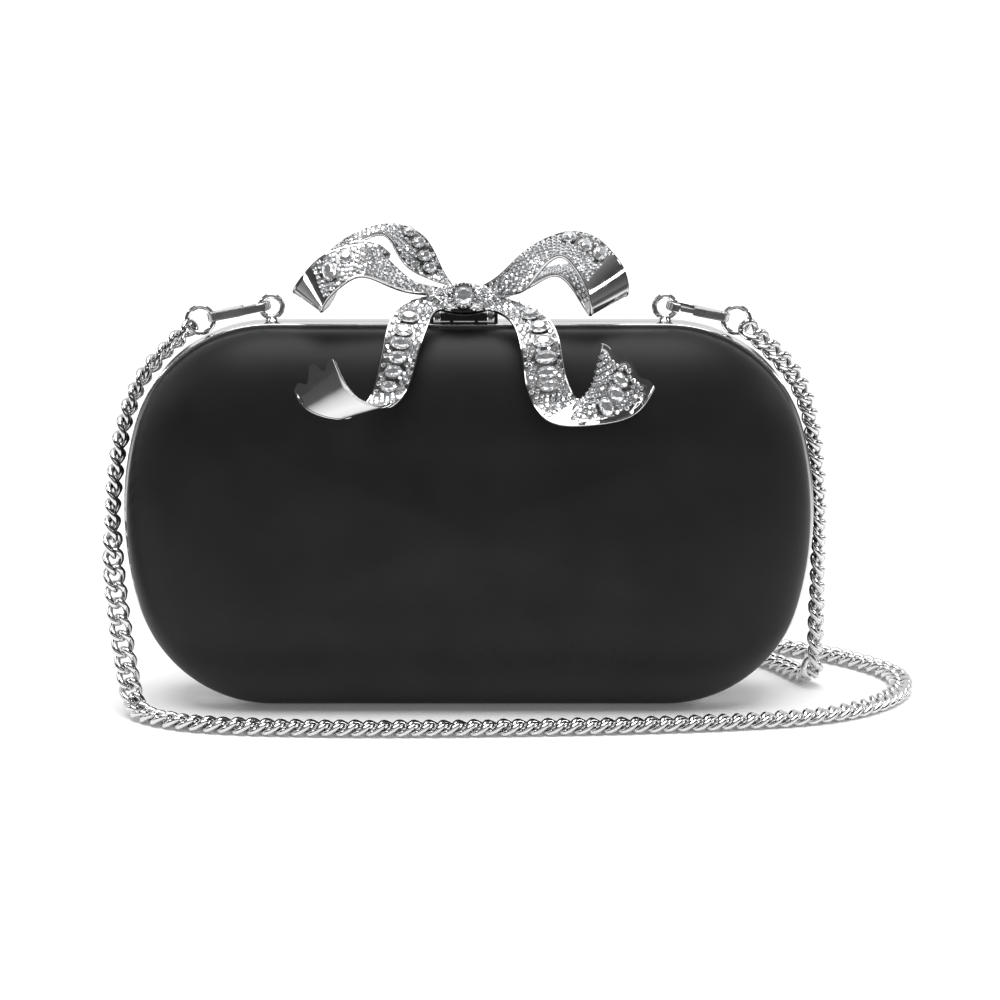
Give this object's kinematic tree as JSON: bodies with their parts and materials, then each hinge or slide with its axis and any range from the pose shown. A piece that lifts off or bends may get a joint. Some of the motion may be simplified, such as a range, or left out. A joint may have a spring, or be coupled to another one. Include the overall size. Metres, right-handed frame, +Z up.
{
  "type": "evening bag",
  "caption": "Rigid oval box clutch in satin, hinged along its base, closed by a jewelled ribbon-bow clasp and carried by a metal curb chain on lobster hooks.",
  "frame": {"origin": "middle of the base the bag stands on, on the parting plane between its two halves", "axes": "+X to the bag's right as its front is looked at, +Y to the back, +Z up"},
  "size_m": [0.2247, 0.1153, 0.1341],
  "materials": {
    "satin": "black satin",
    "shell": "moulded, unseen under the satin",
    "lining": "dull woven lining",
    "frame": "polished, slightly dark",
    "hinge": "fine brushed",
    "clasp": "polished, dark",
    "bow": "polished cast metal, pavé set on its outer side",
    "stones": "clear cut glass, foil backed",
    "fittings": "polished",
    "chain": "polished"
  },
  "bodies": {
    "back": {"back_frame": "frame", "back_shell": "shell", "back_cover": "satin", "back_lining": "lining", "back_hinge_leaves": "hinge", "hinge_pins": "hinge", "striker": "clasp", "left_eyelet": "fittings", "right_eyelet": "fittings", "left_hook_body": "fittings", "right_hook_body": "fittings", "left_hook_rivet": "fittings", "right_hook_rivet": "fittings", "left_jump_ring": "fittings", "right_jump_ring": "fittings", "chain": "chain"},
    "front": {"front_frame": "frame", "front_shell": "shell", "front_cover": "satin", "front_lining": "lining", "front_hinge_leaves": "hinge", "clasp_bracket": "clasp", "clasp_pin": "hinge", "left_clasp_spring": "hinge", "right_clasp_spring": "hinge"},
    "bow": {"clasp_lever": "clasp", "bow_knot": "bow", "knot_stone": "stones", "left_tail": "bow", "right_tail": "bow", "left_loop": "bow", "right_loop": "bow", "left_tail_stones": "stones", "right_tail_stones": "stones", "left_loop_stones": "stones", "right_loop_stones": "stones"},
    "left_gate": {"left_hook_gate": "fittings"},
    "right_gate": {"right_hook_gate": "fittings"}
  },
  "joints": [
    {"name": "opening", "type": "hinge", "parent": "back", "child": "front", "pos_m": [0, 0, 0.0013], "axis": [1, 0, 0], "range_deg": [0, 38]},
    {"name": "bow_lift", "type": "hinge", "parent": "front", "child": "bow", "pos_m": [-0.0012, -0.0022, 0.1095], "axis": [-1, 0, 0], "range_deg": [0, 12], "stiffness_Nm_per_rad": 0.02, "springref_deg": -20.05},
    {"name": "left_gate_swing", "type": "hinge", "parent": "back", "child": "left_gate", "pos_m": [-0.06346, 0.00355, 0.10997], "axis": [0.2079, 0, -0.9781], "range_deg": [0, 15], "stiffness_Nm_per_rad": 0.005, "springref_deg": -11.46},
    {"name": "right_gate_swing", "type": "hinge", "parent": "back", "child": "right_gate", "pos_m": [0.06346, 0.00085, 0.10997], "axis": [-0.2079, 0, -0.9781], "range_deg": [0, 15], "stiffness_Nm_per_rad": 0.005, "springref_deg": -11.46}
  ]
}
